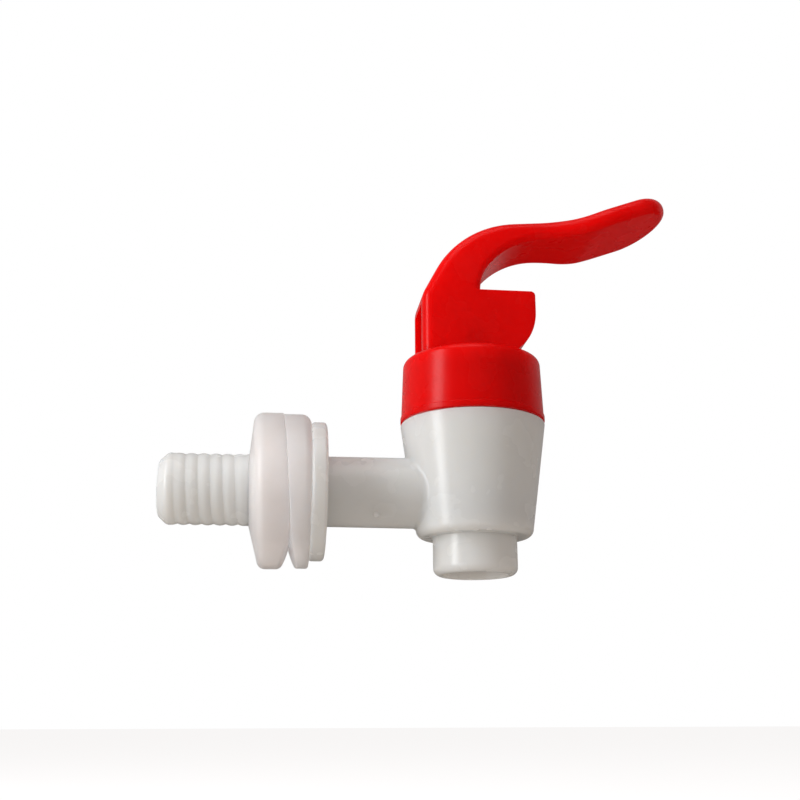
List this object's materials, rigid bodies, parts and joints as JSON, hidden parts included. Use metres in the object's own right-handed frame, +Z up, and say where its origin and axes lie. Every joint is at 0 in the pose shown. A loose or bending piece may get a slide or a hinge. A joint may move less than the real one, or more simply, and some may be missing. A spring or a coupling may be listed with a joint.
{
  "type": "dispenser tap",
  "caption": "Push-lever dispenser tap: white threaded body, red screw-on collar and swan-neck lever, silicone seat cup and two washers",
  "frame": {"origin": "Centre of the flange's sealing face, on the tail's axis", "axes": "+X runs from the tail towards the tap's body, along the tail's axis; +Z is up, away from the outlet; +Y completes the right-handed frame"},
  "size_m": [0.09, 0.0262, 0.0692],
  "materials": {
    "white_plastic": "moulded white polypropylene, slightly translucent",
    "red_plastic": "moulded red plastic, glossy",
    "stem_plastic": "moulded white acetal, plain",
    "silicone": "translucent silicone, faintly pink",
    "spring_steel": "drawn stainless wire"
  },
  "bodies": {
    "housing": {"tap_body": "white_plastic", "collar": "red_plastic", "outer_washer": "silicone", "inner_washer": "silicone"},
    "stem": {"valve_stem": "stem_plastic", "seat_cup": "silicone", "return_spring": "spring_steel"},
    "lever": {"lever": "red_plastic"}
  },
  "joints": [
    {"name": "stem_lift", "type": "slide", "parent": "housing", "child": "stem", "axis": [0, 0, 1], "range_m": [0, 0.00335], "stiffness_N_per_m": 600, "springref_m": -0.004, "deforming": ["return_spring", "seat_cup"]},
    {"name": "lever_tilt", "type": "hinge", "parent": "stem", "child": "lever", "pos_m": [0.0282, 0, 0.0268], "axis": [0, 1, 0], "range_deg": [0, 40]}
  ],
  "couplings": [
    {"joint": "stem_lift", "follows": "lever_tilt", "m_per_rad": 0.0048}
  ]
}
